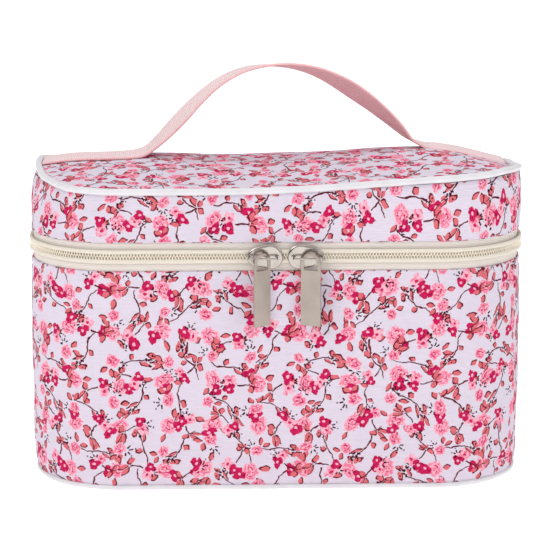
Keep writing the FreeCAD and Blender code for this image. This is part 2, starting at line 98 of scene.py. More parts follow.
def lid_rise(x, y):
    """How much higher the rim of the soft lid stands at a place than the rim of the CAD lid. It is
    propped up towards the right and under the handle, and sags behind the handle and at the right
    end."""
    crest = -0.1 * x
    behind = y - crest
    sag = SAG_SLOPE * (behind + np.sqrt(behind**2 + SAG_SOFTNESS)) / 2
    end = END_DROP * smoothstep((x - 66) / 48) * smoothstep((y + 60) / 50)
    right = RIGHT_RISE * smoothstep((x + 25) / 135)
    return right - end + MIDDLE_RISE * smoothstep((y + 75) / 85) - sag


def unshaped(along, inset, z):
    return inset, z


def lid_lean(along):
    """How far the top of the lid leans in. It leans most at the left front corner."""
    return LEAN * np.exp(-(((along - LEAN_PLACE) / LEAN_REACH) ** 2))


def lid_shape(along, inset, z):
    """Where the soft lid carries a point of the CAD lid."""
    share = np.clip((z - ZIP_HIGH) / (TOP_PIPING - ZIP_HIGH), 0, 1.2)
    inset = inset + share * lid_lean(along)
    x, y, _, _ = outline(along, inset)
    return inset, z + share * lid_rise(x, y)


def outline(along, inset):
    """Points and outward normals round the bag at a distance along it from the middle of the front,
    going to the right, moved inwards by inset."""
    along, inset = np.broadcast_arrays(np.asarray(along, float), np.asarray(inset, float))
    along = (along + ROUND / 2) % ROUND - ROUND / 2
    side = np.where(along < 0, -1.0, 1.0)
    way = np.abs(along)
    ends = np.cumsum([STRAIGHT_X, ARC, 2 * STRAIGHT_Y, ARC])
    turn = np.clip((way - ends[0]) / CORNER, 0, math.pi / 2)
    turn = turn + np.clip((way - ends[2]) / CORNER, 0, math.pi / 2)
    nx, ny = np.sin(turn), -np.cos(turn)
    front = np.clip(way, 0, ends[0])
    flank = np.clip(way - ends[1], 0, 2 * STRAIGHT_Y)
    rear = np.clip(way - ends[3], 0, STRAIGHT_X)
    reach = CORNER - inset
    x = front - rear + nx * reach
    y = flank - STRAIGHT_Y + ny * reach
    return x * side, y, nx * side, ny


def ripple(a, b, waves, seed):
    """A gentle, repeatable unevenness between -1 and 1 over two coordinates. waves is the usual
    wavelength in millimetres."""
    rng = np.random.default_rng(seed)
    total = np.zeros(np.broadcast(a, b).shape)
    for _ in range(7):
        heading = rng.uniform(0, 2 * math.pi)
        rate = 2 * math.pi / (waves * rng.uniform(0.7, 1.6))
        phase = rng.uniform(0, 2 * math.pi)
        total = total + np.sin((a * math.cos(heading) + b * math.sin(heading)) * rate + phase)
    return total / 3.2


def build(name, points, faces, uv=None):
    """A mesh object from points in millimetres. uv holds a place on the cloth, in millimetres, for each
    corner of each face."""
    mesh = bpy.data.meshes.new(name)
    mesh.from_pydata((np.asarray(points) * MM).tolist(), [], [tuple(f) for f in faces])
    if uv is not None:
        layer = mesh.uv_layers.new(name="Cloth")
        layer.data.foreach_set("uv", (np.asarray(uv, float) / UV_UNIT).ravel())
    mesh.polygons.foreach_set("use_smooth", [True] * len(mesh.polygons))
    mesh.update()
    piece = bpy.data.objects.new(name, mesh)
    bpy.context.scene.collection.objects.link(piece)
    return piece


def grid_faces(rows, columns, wrap_rows, wrap_columns):
    """Corner numbers of the quads of a grid of points, with optional closing in each direction."""
    r = np.arange(rows if wrap_rows else rows - 1)
    c = np.arange(columns if wrap_columns else columns - 1)
    r, c = np.meshgrid(r, c, indexing="ij")
    r2, c2 = (r + 1) % rows, (c + 1) % columns
    quads = np.stack([r * columns + c, r2 * columns + c, r2 * columns + c2, r * columns + c2], -1)
    return quads.reshape(-1, 4), r.ravel(), c.ravel()


def add_ends(faces, corners, walk, height):
    """Closes both ends of a swept loop, with a place on the cloth for each corner. walk and height are
    the places of its rows and columns."""
    rows, columns = len(walk), len(height)
    for row, order in ((0, range(columns)), (rows - 1, range(columns - 1, -1, -1))):
        faces.append(tuple(row * columns + k for k in order))
        corners += [[walk[row], height[k]] for k in order]


def swept(name, stations, profile, shape=None, closed=False, cloth_start=0.0):
    """A solid swept round the bag. stations are distances along the outline, profile a closed loop of
    (inset, z) pairs, and shape an optional function that moves the points."""
    profile = np.asarray(profile, float)
    along = np.asarray(stations, float)[:, None]
    inset, z = profile[None, :, 0], profile[None, :, 1]
    if shape is not None:
        inset, z = shape(along, inset, z)
    x, y, _, _ = outline(along, inset)
    x, y, z = np.broadcast_arrays(x, y, z)
    points = np.stack([x, y, z], -1)
    rows, columns = points.shape[:2]
    quads, r, c = grid_faces(rows, columns, closed, True)
    # distance along the cloth, measured on the profile from its first point
    steps = np.hypot(*np.diff(np.vstack([profile, profile[:1]]), axis=0).T)
    height = cloth_start + np.concatenate([[0], np.cumsum(steps)])
    walk = np.concatenate([along[:, 0], [along[0, 0] + ROUND]])
    uv = np.stack(
        [
            np.stack([walk[r], height[c]], -1),
            np.stack([walk[r + 1], height[c]], -1),
            np.stack([walk[r + 1], height[c + 1]], -1),
            np.stack([walk[r], height[c + 1]], -1),
        ],
        1,
    )
    faces = [tuple(q) for q in quads]
    corners = uv.reshape(-1, 2).tolist()
    if not closed:
        add_ends(faces, corners, walk[:rows], height[:columns])
    return build(name, points.reshape(-1, 3), faces, corners)


def tube(name, path, radius, sides, closed=False):
    """A round wire, cord or thread through the points of path."""
    path = np.asarray(path, float)
    ahead = np.roll(path, -1, 0) - np.roll(path, 1, 0)
    if not closed:
        ahead[0], ahead[-1] = path[1] - path[0], path[-1] - path[-2]
    ahead /= np.linalg.norm(ahead, axis=1, keepdims=True)
    up = np.zeros_like(path)
    guess = np.array([0.0, 0.0, 1.0]) if abs(ahead[0][2]) < 0.9 else np.array([1.0, 0.0, 0.0])
    for k, direction in enumerate(ahead):
        guess = guess - direction * (guess @ direction)
        guess = guess / np.linalg.norm(guess)
        up[k] = guess
    across = np.cross(ahead, up)
    turns = np.linspace(0, 2 * math.pi, sides, endpoint=False)
    ring = np.cos(turns)[None, :, None] * across[:, None] + np.sin(turns)[None, :, None] * up[:, None]
    points = path[:, None] + ring * radius
    faces, _, _ = grid_faces(len(path), sides, closed, True)
    faces = [tuple(f) for f in faces]
    if not closed:
        faces.append(tuple(range(sides)))
        faces.append(tuple((len(path) - 1) * sides + k for k in reversed(range(sides))))
    return build(name, points.reshape(-1, 3), faces)


def stations(start, end, step):
    return np.linspace(start, end, max(2, int(round((end - start) / step)) + 1))


def joined(name, pieces):
    """Joins pieces of one material into one object."""
    bpy.ops.object.select_all(action="DESELECT")
    for piece in pieces:
        piece.select_set(True)
    bpy.context.view_layer.objects.active = pieces[0]
    bpy.ops.object.join()
    pieces[0].name = pieces[0].data.name = name
    return pieces[0]


# ---- materials

class Field:
    """A number at every point of a material, so that node arithmetic reads like arithmetic."""

    def __init__(self, tree, socket):
        self.tree = tree
        self.socket = socket

    def node(self, operation, *others, clamp=False):
        step = self.tree.nodes.new("ShaderNodeMath")
        step.operation = operation
        step.use_clamp = clamp
        for place, value in zip(step.inputs, (self, *others)):
            if isinstance(value, Field):
                self.tree.links.new(value.socket, place)
            else:
                place.default_value = value
        return Field(self.tree, step.outputs[0])

    def __add__(self, other):
        return self.node("ADD", other)

    def __sub__(self, other):
        return self.node("SUBTRACT", other)

    def __rsub__(self, other):
        return self.node("MULTIPLY_ADD", -1.0, other)

    def __mul__(self, other):
        return self.node("MULTIPLY", other)

    def __truediv__(self, other):
        return self.node("DIVIDE", other)

    __radd__ = __add__
    __rmul__ = __mul__

    def times_plus(self, factor, extra):
        return self.node("MULTIPLY_ADD", factor, extra)

    def size(self):
        return self.node("ABSOLUTE")

    def wrapped(self, span):
        return self.node("FLOORED_MODULO", span)

    def whole(self):
        return self.node("FLOOR")

    def above(self, level):
        return self.node("GREATER_THAN", level)

    def below(self, level):
        return self.node("LESS_THAN", level)

    def inside(self, soft=0.16):
        """1 where this distance is negative and 0 where it is positive, with a soft edge."""
        return self.node("MULTIPLY_ADD", -1.0 / soft, 0.5, clamp=True)


def distance(x, y):
    return (x * x + y * y).node("SQRT")


def new_material(name, roughness, sheen=0.0, metallic=0.0, coat=0.0, specular=0.5):
    """A node material, its tree and its Principled shader. Uniform values sit on the shader itself."""
    material = bpy.data.materials.new(name)
    material.use_nodes = True
    tree = material.node_tree
    shader = tree.nodes["Principled BSDF"]
    shader.inputs["Roughness"].default_value = roughness
    shader.inputs["Sheen Weight"].default_value = sheen
    shader.inputs["Sheen Roughness"].default_value = 0.5
    shader.inputs["Metallic"].default_value = metallic
    shader.inputs["Coat Weight"].default_value = coat
    shader.inputs["Coat Roughness"].default_value = 0.3
    shader.inputs["Specular IOR Level"].default_value = specular
    return material, tree, shader


def linear(colour):
    """A colour given as 0 to 255 display values, as the linear values that nodes take."""
    values = [c / 255 for c in colour]
    return [v / 12.92 if v <= 0.04045 else ((v + 0.055) / 1.055) ** 2.4 for v in values] + [1.0]


def mixed(tree, factor, first, second):
    """A colour that goes from first to second as factor goes from 0 to 1."""
    node = tree.nodes.new("ShaderNodeMix")
    node.data_type = "RGBA"
    tree.links.new(factor.socket, node.inputs["Factor"])
    for place, value in ((node.inputs[6], first), (node.inputs[7], second)):
        if isinstance(value, bpy.types.NodeSocket):
            tree.links.new(value, place)
        else:
            place.default_value = linear(value)
    return node.outputs[2]


def cloth_place(tree):
    """Place on the cloth, in millimetres, as two fields."""
    uv = tree.nodes.new("ShaderNodeUVMap")
    uv.uv_map = "Cloth"
    split = tree.nodes.new("ShaderNodeSeparateXYZ")
    tree.links.new(uv.outputs[0], split.inputs[0])
    return Field(tree, split.outputs[0]) * UV_UNIT, Field(tree, split.outputs[1]) * UV_UNIT


def object_place(tree):
    """Place in the bag's frame, in millimetres, as three fields."""
    coordinates = tree.nodes.new("ShaderNodeTexCoord")
    split = tree.nodes.new("ShaderNodeSeparateXYZ")
    tree.links.new(coordinates.outputs["Object"], split.inputs[0])
    return [Field(tree, split.outputs[k]) * 1000.0 for k in range(3)]


def combined(tree, x, y, z=None):
    join = tree.nodes.new("ShaderNodeCombineXYZ")
    for place, value in zip(join.inputs, (x, y, z)):
        if isinstance(value, Field):
            tree.links.new(value.socket, place)
        elif value is not None:
            place.default_value = value
    return join.outputs[0]


def noise(tree, x, y, z=None, detail=2.0):
    """Smooth noise around 0, from -0.5 to 0.5, as three fields."""
    node = tree.nodes.new("ShaderNodeTexNoise")
    node.inputs["Scale"].default_value = 1.0
    node.inputs["Detail"].default_value = detail
    tree.links.new(combined(tree, x, y, z), node.inputs["Vector"])
    split = tree.nodes.new("ShaderNodeSeparateColor")
    tree.links.new(node.outputs["Color"], split.inputs[0])
    return [Field(tree, split.outputs[k]) - 0.5 for k in range(3)]


def bump(tree, shader, height, depth):
    node = tree.nodes.new("ShaderNodeBump")
    node.inputs["Strength"].default_value = 1.0
    node.inputs["Distance"].default_value = depth * MM
    tree.links.new(height.socket, node.inputs["Height"])
    tree.links.new(node.outputs[0], shader.inputs["Normal"])


# the floral print

REPEAT = 83.0  # the print repeats after this distance, four cells across
PRINT = {
    "ground": (224, 214, 227),
    "petal": (248, 184, 200),
    "petal_mark": (238, 128, 156),
    "petal_heart": (206, 40, 98),
    "blossom": (206, 26, 90),
    "blossom_shade": (150, 12, 60),
    "leaf": (222, 110, 118),
    "leaf_edge": (104, 18, 38),
    "stem": (98, 18, 36),
    "tick": (70, 12, 34),
}


def cells(x, y, size, shift, seed, jitter):
    """Divides the cloth into square cells that repeat every four. Returns the place in the cell from a
    centre that is moved a little and turned at random, and three random numbers of the cell."""
    tree = x.tree
    across, up = x / size + shift[0], y / size + shift[1]
    column, row = across.whole(), up.whole()
    white = tree.nodes.new("ShaderNodeTexWhiteNoise")
    repeat = combined(tree, column.wrapped(4.0), row.wrapped(4.0), seed)
    tree.links.new(repeat, white.inputs["Vector"])
    split = tree.nodes.new("ShaderNodeSeparateColor")
    tree.links.new(white.outputs["Color"], split.inputs[0])
    chance = [Field(tree, split.outputs[k]) for k in range(3)]
    local_x = (across - column - 0.5) * size + (chance[1] - 0.5) * jitter
    local_y = (up - row - 0.5) * size + (chance[2] - 0.5) * jitter
    angle = chance[0] * (2 * math.pi)
    cos, sin = angle.node("COSINE"), angle.node("SINE")
    return local_x * cos - local_y * sin, local_x * sin + local_y * cos, chance


def petals(x, y, count, turn=0.0):
    """Folds the plane into equal wedges. Returns place along and across the middle of the nearest
    wedge, and the wedge's number."""
    angle = y.node("ARCTAN2", x) + turn
    wedge = 2 * math.pi / count
    number = (angle / wedge).whole()
    off = angle.wrapped(wedge) - wedge / 2
    r = distance(x, y)
    return r * off.node("COSINE"), r * off.node("SINE"), number


def leaf(x, y, length, width):
    """A leaf that grows along +x from the origin: its mask, and the mask of its dark edge."""
    along = x.times_plus(2 / length, -1.0)
    shore = y.size() - (1.0 - along * along) * (width / 2)
    edge = (-0.6 - shore).inside() * y.above(-width * 0.14)
    return shore.inside(), edge


def turned(x, y, degrees):
    """Place in axes turned counter-clockwise."""
    cos, sin = math.cos(math.radians(degrees)), math.sin(math.radians(degrees))
    return x * cos + y * sin, y * cos - x * sin


def dappled(grain, level):
    """Irregular patches, smaller for a higher level."""
    return (level - grain).inside(0.04)


class Print:
    """Paints motifs one over another."""

    def __init__(self, tree, grain):
        self.tree = tree
        self.grain = grain
        ground = tree.nodes.new("ShaderNodeRGB")
        ground.outputs[0].default_value = linear(PRINT["ground"])
        self.colour = ground.outputs[0]

    def paint(self, mask, name):
        self.colour = mixed(self.tree, mask, self.colour, PRINT[name])

    def leaves(self, x, y, length, width, keep=None):
        mask, edge = leaf(x, y, length, width)
        if keep is not None:
            mask = mask * keep
        self.paint(mask, "leaf")
        self.paint(mask * edge, "leaf_edge")

    def rose(self, x, y, radius):
        u, v, _ = petals(x, y, 5)
        shape = distance(u - radius * 0.45, v) - radius * 0.54
        inside = (self.grain[0] * 2.2 + shape).inside()
        self.paint(inside, "petal")
        strokes = (distance(u - radius * 0.4, v) - radius * 0.3).size() - 0.42
        self.paint(inside * strokes.inside() * dappled(self.grain[1], -0.06), "petal_mark")
        self.paint(inside * dappled(self.grain[2], 0.07), "petal_mark")
        u, v, _ = petals(x, y, 3, turn=0.7)
        strokes = (distance(u - radius * 0.2, v) - radius * 0.26).size() - 0.3
        self.paint(strokes.inside() * dappled(self.grain[2], -0.03), "petal_heart")

    def blossom(self, x, y, radius):
        u, v, _ = petals(x, y, 3)
        shape = distance(u - radius * 0.5, v) - radius * 0.58
        inside = (self.grain[1] * 1.4 + shape).inside()
        self.paint(inside, "blossom")
        self.paint(inside * dappled(self.grain[0], 0.09), "blossom_shade")
        self.paint((distance(x, y + 0.3) - radius * 0.24).inside() * inside, "petal")

    def posy(self, x, y, radius):
        u, v, _ = petals(x, y, 4)
        shape = distance(u - radius * 0.55, v) - radius * 0.46
        inside = (self.grain[2] * 1.4 + shape).inside()
        self.paint(inside, "petal")
        self.paint(inside * dappled(self.grain[1], 0.04), "petal_mark")
        self.paint((distance(x, y) - radius * 0.24).inside(), "petal_heart")

    def ticks(self, x, y):
        """A spray of short strokes and dots on one side of a point."""
        u, v, _ = petals(x, y, 7)
        stroke = ((u - 1.7).size() - 0.75).node("MAXIMUM", v.size() - 0.34)
        self.paint(stroke.inside() * x.above(-0.2), "tick")
        self.paint((distance(u - 3.4, v) - 0.36).inside() * x.above(1.0), "tick")

    def stem(self, x, y, length):
        line = ((x - length / 2).size() - length / 2).node("MAXIMUM", y.size() - 0.34)
        self.paint(line.inside(), "stem")

    def sprig(self, x, y, length, bend):
        """A bowed stem along +x from the origin, with three leaves at its tip. Returns the place
        along and across the stem."""
        y = x * x * bend + y
        self.stem(x, y, length)
        u, v, _ = petals(x - length, y, 5, turn=math.pi / 5)
        self.leaves(u - 0.4, v, 4.6, 2.6, keep=(x - length).above(-0.5))
        return x, y


def print_colour(tree, x, y):
    """A ditsy floral: roses with blossoms, leafy stems, and small fillers, on four overlapping grids
    of random cells."""
    wander = noise(tree, x / 15.0, y / 15.0, detail=0.0)
    tremble = noise(tree, x / 1.6, y / 1.6, detail=0.0)
    x = x + wander[0] * 5.0 + tremble[0] * 0.8
    y = y + wander[1] * 5.0 + tremble[1] * 0.8
    art = Print(tree, noise(tree, x / 1.1, y / 1.1, detail=1.0))
    size = REPEAT / 4

    # long leafy stems
    a, b, _ = cells(x, y, size, (0.5, 0.5), 11.0, 4.0)
    along, across = art.sprig(a + 6.0, b, 10.5, 0.05)
    side = across.above(0.0) * 2.0 - 1.0
    along, across = turned(along - 4.6 + side * 1.5, across.size(), 52)
    art.leaves(along - 0.7, across, 4.0, 2.2)
    art.stem(-1.0 * a - 6.0, a * a * -0.06 + b + 2.0, 4.4)
    art.ticks(a - 2.5, b + 5.6)

    # roses with a blossom against them and leaves round about
    a, b, chance = cells(x, y, size, (0.0, 0.0), 3.0, 5.0)
    u, v, number = petals(a, b, 6)
    some = ((number * 0.37 + chance[2]).node("FRACT")).above(0.62)
    art.leaves(u - 4.0, v, 4.5, 2.6, keep=some)
    art.rose(a, b, 4.1)
    art.blossom(a - 4.3, b - 1.8, 2.9)

    # blossoms in twos, with a short sprig
    a, b, _ = cells(x, y, size, (0.5, 0.0), 23.0, 5.0)
    art.sprig(a - 1.0, b, 5.4, -0.05)
    art.posy(a + 1.6, b - 2.4, 2.9)
    art.blossom(a + 1.8, b + 1.6, 2.6)
    art.ticks(-1.0 * a - 3.6, b - 0.5)

    # small roses, with two leaves and a few strokes
    a, b, _ = cells(x, y, size, (0.0, 0.5), 31.0, 5.0)
    along, across = turned(a - 1.2, b.size(), 34)
    art.leaves(along - 1.0, across, 4.4, 2.4)
    art.rose(a + 1.2, b, 2.9)
    art.ticks(b - 3.4, -1.0 * a - 1.0)
    return art.colour


def printed_fabric(name="printed_fabric", place=cloth_place):
    material, tree, shader = new_material(name, 0.85, sheen=0.02, specular=0.12)
    x, y = place(tree)[:2]
    colour = print_colour(tree, x, y)
    # fine cross ribs with uneven threads
    slub = noise(tree, x / 5.0, y / 0.55, detail=1.0)[0]
    rib = (y * (2 * math.pi / 0.62)).node("SINE")
    shade = (slub * 0.9 + rib * 0.06).node("ADD", 0.5, clamp=True)
    dark = tree.nodes.new("ShaderNodeMix")
    dark.data_type = "RGBA"
    dark.blend_type = "MULTIPLY"
    dark.inputs["Factor"].default_value = 0.36
    tree.links.new(colour, dark.inputs[6])
    tone = mixed(tree, shade, (196, 190, 206), (255, 255, 255))
    tree.links.new(tone, dark.inputs[7])
    tree.links.new(dark.outputs[2], shader.inputs["Base Color"])
    bump(tree, shader, rib * 0.5 + slub, 0.12)
    return material


def plain(name, colour, roughness, grain=2.0, depth=0.05, **looks):
    """A plain surface whose colour and height vary a little at a grain size in millimetres."""
    material, tree, shader = new_material(name, roughness, **looks)
    x, y, z = object_place(tree)
    speck = noise(tree, x / grain, y / grain, z / grain)[0]
    darker = [c * 0.94 for c in colour]
    blend = (speck * 1.6 + 0.5).node("ADD", 0.0, clamp=True)
    tree.links.new(mixed(tree, blend, darker, colour), shader.inputs["Base Color"])
    bump(tree, shader, speck, depth)
    return material


OTHER_FACE = 50.0


def ribbed(name, colour, dark, pitch, depth, roughness, axis="y", back=None, **looks):
    """Woven tape or ribbon with ribs every pitch millimetres, across or along the cloth. back is the
    colour of
    its other face: a darker, pinker copy of its own colour that paints shade there. That face is mapped
    past OTHER_FACE on the cloth."""
    material, tree, shader = new_material(name, roughness, **looks)
    x, y = cloth_place(tree)
    along, other = (y, x) if axis == "y" else (x, y)
    wobble = noise(tree, x / 4.0, y / 4.0)[0]
    rib = (along * (2 * math.pi / pitch) + wobble * 0.8).node("SINE")
    thread = (other * (2 * math.pi / 0.42)).node("SINE") * 0.3
    shade = (rib * 0.36 + thread * 0.2 + wobble * 0.5).node("ADD", 0.6, clamp=True)
    cloth = mixed(tree, shade, dark, colour)
    # painted shade: the other face gets a darker, pinker copy of the cloth
    if back is not None:
        rear = mixed(tree, shade, [c * 0.93 for c in back], back)
        cloth = mixed(tree, y.above(OTHER_FACE), cloth, rear)
    tree.links.new(cloth, shader.inputs["Base Color"])
    bump(tree, shader, rib * 0.7 + thread, depth)
    return material


def brushed_metal(name, colour, roughness):
    """Satin metal with fine upright brushing."""
    material, tree, shader = new_material(name, roughness, metallic=1.0)
    x, y, z = object_place(tree)
    streak = noise(tree, x / 0.12, y / 0.12, z / 9.0)[0]
    smear = noise(tree, x / 6.0, y / 6.0, z / 9.0)[0]
    tone = (streak * 0.5 + smear * 0.6).node("ADD", 0.5, clamp=True)
    darker = [c * 0.8 for c in colour]
    tree.links.new(mixed(tree, tone, darker, colour), shader.inputs["Base Color"])
    rough = streak * 0.12 + roughness
    tree.links.new(rough.socket, shader.inputs["Roughness"])
    bump(tree, shader, streak + smear * 24.0, 0.012)
    return material


def nylon_coil():
    """Cream nylon, painted lighter where the two coils meet than on the sewing thread that covers them:
    painted light that lifts the shade in the groove between the coils.
    """
    material, tree, shader = new_material("zip_coil", 0.5, specular=0.35)
    x, y, z = object_place(tree)
    speck = noise(tree, x / 0.6, y / 0.6, z / 0.6)[0]
    to_middle = (z - ZIP_MID).size() + speck * 0.5
    # painted light: the coil heads in the groove between the ridges are made lighter than the thread,
    # to lift their shade
    groove_painted_light = (to_middle - 1.15).inside(0.3)
    tone = (speck * 1.5).node("ADD", 0.5, clamp=True)
    thread = mixed(tree, tone, (208, 199, 184), (226, 218, 204))
    tree.links.new(mixed(tree, groove_painted_light, thread, (236, 226, 208)), shader.inputs["Base Color"])
    return material


MATERIALS = {
    "printed_fabric": printed_fabric(),
    "piping_cover": plain("piping_cover", (222, 220, 224), 0.42, grain=6.0, depth=0.06, coat=0.15),
    "piping_cord": plain("piping_cord", (235, 232, 228), 0.8),
    "zip_tape": ribbed("zip_tape", (228, 220, 213), (216, 207, 199), 0.8, 0.06, 0.8, sheen=0.1),
    "zip_coil": nylon_coil(),
    "slider_metal": brushed_metal("slider_metal", (206, 198, 190), 0.2),
    "pull_metal": brushed_metal("pull_metal", (184, 172, 162), 0.32),
    # the ribbon's back colour is painted shade on its underside, darker and pinker than its face
    "handle_ribbon": ribbed(
        "handle_ribbon", (252, 228, 229), (238, 194, 198), 0.95, 0.16, 0.7,
        axis="x", back=(255, 198, 201), sheen=0.2,
    ),
    "lining_cloth": plain("lining_cloth", (232, 228, 232), 0.75, grain=0.8, depth=0.06, sheen=0.2),
    "binding_tape": plain("binding_tape", (236, 232, 234), 0.7, grain=0.8, depth=0.08, sheen=0.1),
    "foam": plain("foam", (240, 238, 230), 0.9, grain=0.6, depth=0.1),
    "board": plain("board", (180, 180, 178), 0.7),
}
THREAD = plain("thread", (244, 238, 242), 0.6, grain=0.5, depth=0.03)


def finished(piece, slot, body, *nodes, material=None):
    """Gives a piece its material, from its record slot unless one is given, and the body it rides on,
    and hides the CAD nodes it stands for.
    """
    piece.data.materials.clear()
    piece.data.materials.append(material or MATERIALS[slot])
    if body:
        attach(piece, body)
    if nodes:
        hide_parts(*nodes)
    return piece


# ---- walls

def seam_tuck(along, start, end):
    """Extra inset where a panel turns in to its side seams."""
    to_seam = np.minimum(np.abs(along - start), np.abs(along - end))
    return 0.7 * np.exp(-((to_seam / 1.3) ** 2))


def body_wall(along, inset, z, start, end):
    """Shape of the body's cloth: full in the middle, tucked in at the foot piping, and drawn in along
    the stitching under the zip."""
    share = np.clip((z - PANEL_FOOT) / (ZIP_LOW - PANEL_FOOT), 0, 1)
    full = 0.9 * np.sin(math.pi * share) ** 0.7
    middle = np.sin(math.pi * share) ** 0.5
    soft = 0.4 * middle * ripple(along, z, 46, 5)
    pucker = 0.16 * ripple(along, z * 0.3, 7, 8) * np.exp(-(ZIP_LOW - z) / 7)
    foot_pucker = 0.14 * ripple(along, z * 0.3, 8, 9) * np.exp(-(z - 3) / 6)
    stitched = 0.3 * np.exp(-(((z - BODY_STITCH) / 0.7) ** 2))
    foot = 0.7 * (1 - smoothstep((z - 1.9) / 5))
    inset = inset - full + soft + pucker + foot_pucker + stitched + foot
    return inset + seam_tuck(along, start, end), z + 0 * along


def lid_wall(along, inset, z, start, end):
    """Shape of the lid band's cloth between the zip and the piping."""
    share = np.clip((z - ZIP_HIGH) / (TOP_PIPING - ZIP_HIGH), 0, 1)
    full = 0.5 * np.sin(math.pi * share) ** 0.7
    soft = 0.22 * np.sin(math.pi * share) * ripple(along, z, 30, 15)
    pucker = 0.14 * ripple(along, z * 0.3, 7, 18) * np.exp(-(z - ZIP_HIGH) / 6)
    stitched = 0.3 * np.exp(-(((z - LID_STITCH) / 0.7) ** 2))
    head = 0.45 * smoothstep((z - 131) / 4)
    side = np.exp(-(((along - BULGE_PLACE) / BULGE_REACH) ** 2))
    bulge = BULGE * np.sin(math.pi * share) * side
    inset = inset - full - bulge + soft + pucker + stitched + head
    return lid_shape(along, inset + seam_tuck(along, start, end), z)


def folded_profile(low, high, fold, fold_at_top):
    """A strip of cloth with a rounded folded edge, as a closed (inset, z) loop that starts at the
    lower outer corner and goes up the outer face."""
    levels = np.linspace(low, high, max(4, int((high - low) / 1.6)))
    outer = [(0.0, z) for z in levels]
    inner = [(CLOTH, z) for z in levels[::-1]]
    bend = [(CLOTH * (1 - math.cos(a)) / 2, fold * math.sin(a)) for a in (0.5, 1.1, 1.57, 2.0, 2.6)]
    if fold_at_top:
        return outer + [(inset, high + rise) for inset, rise in bend] + inner
    return outer + inner + [(inset, low - rise) for inset, rise in bend[::-1]]


def shaped(wall, start, end):
    return lambda along, inset, z: wall(along, inset, z, start, end)


def walls():
    front = (-ZIP_RUN, ZIP_RUN)
    rear = (ZIP_RUN + SEAM_GAP, ROUND - ZIP_RUN - SEAM_GAP)
    fold = 0.4
    body = folded_profile(PANEL_FOOT, ZIP_LOW - fold, fold, True)
    lid = folded_profile(ZIP_HIGH + fold, BAND_TOP, fold, False)
    rows = (
        ("body_cloth", front, body, body_wall, 2.0, "base", "body_outer_panel"),
        ("back_cloth", rear, body, body_wall, 2.0, "base", "back_outer_panel"),
        ("lid_band_cloth", front, lid, lid_wall, 291.0, "lid", "lid_outer_band"),
        ("lid_back_cloth", rear, lid, lid_wall, 291.0, "lid", "lid_back_panel"),
    )
    for name, (start, end), profile, wall, cloth, body_name, node in rows:
        piece = swept(
            name, stations(start, end, 1.6), profile, shaped(wall, start, end), cloth_start=cloth
        )
        finished(piece, "printed_fabric", body_name, node)
        heights = [z for _, z in profile]
        flat = ((end - start) * MM, (max(heights) - min(heights)) * MM)
        under = "body_foam" if body_name == "base" else "lid_wall_padding"
    flat = ((rear[1] - rear[0]) * MM, (ZIP_HIGH - ZIP_LOW) * MM)
    inside = CLOTH + SEAM_GAP
    strips = (
        ("hinge_cloth", "printed_fabric", 0.0, CLOTH, "hinge_outer_strip", "back_cloth"),
        ("hinge_lining", "lining_cloth", inside, inside + 0.45, "hinge_lining_strip", "hinge_cloth"),
    )
    for name, slot, outer, inner, node, under in strips:
        strip = [(outer, z) for z in np.linspace(ZIP_LOW, ZIP_HIGH - 0.1, 12)]
        strip += [(inner, z) for z in np.linspace(ZIP_HIGH - 0.1, ZIP_LOW, 12)]
        hinge = swept(name, stations(*rear, 2.0), strip, cloth_start=180.0)
        finished(hinge, slot, None, node)
        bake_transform(hinge)


# ---- zip

def zip_tape(name, low, high, shape, body, node):
    levels = np.linspace(low, high, 10)
    profile = [(0.85, z) for z in levels] + [(1.3, z) for z in levels[::-1]]
    tape = swept(name, stations(-ZIP_RUN, ZIP_RUN, 2.0), profile, shape, cloth_start=low)
    finished(tape, "zip_tape", body, node)
    flat = (2 * ZIP_RUN * MM, (high - low) * MM)


COIL_PITCH = 1.36


def coil(name, way, body, node):
    """One side of a nylon coil: a wire that loops round once every tooth, under a chain of sewing
    thread that holds it to the tape. way is 1 for the upper coil and -1 for the lower one."""
    steps = 12
    turns = int((2 * ZIP_RUN - 6) / COIL_PITCH)
    angle = np.arange(turns * steps) / steps * 2 * math.pi
    along = (angle / (2 * math.pi) - turns / 2 + way * 0.25) * COIL_PITCH
    height = ZIP_MID + way * (2.9 * (1 - np.cos(angle)) / 2 - 0.1)
    out = 0.15 + 0.5 * np.sin(angle)
    x, y, nx, ny = outline(along, 0.0)
    wire = tube("wire", np.stack([x + nx * out, y + ny * out, height], -1), 0.33, sides=6)

    turn = np.linspace(0, 2 * math.pi, 14, endpoint=False)
    ridge = np.stack([-0.55 - 0.5 * np.cos(turn), ZIP_MID + way * (2.15 + 0.95 * np.sin(turn))], -1)

    def stitched(along, inset, z):
        lean = along + way * (z - ZIP_MID) * 0.8
        swell = 0.14 * np.cos(lean * (2 * math.pi / COIL_PITCH))
        return inset + (inset + 0.55) * swell, z + 0 * along

    run = ZIP_RUN - 3.2
    chain = swept("chain", stations(-run, run, 0.34), ridge, stitched)
    finished(joined(name, [chain, wire]), "zip_coil", body, node)


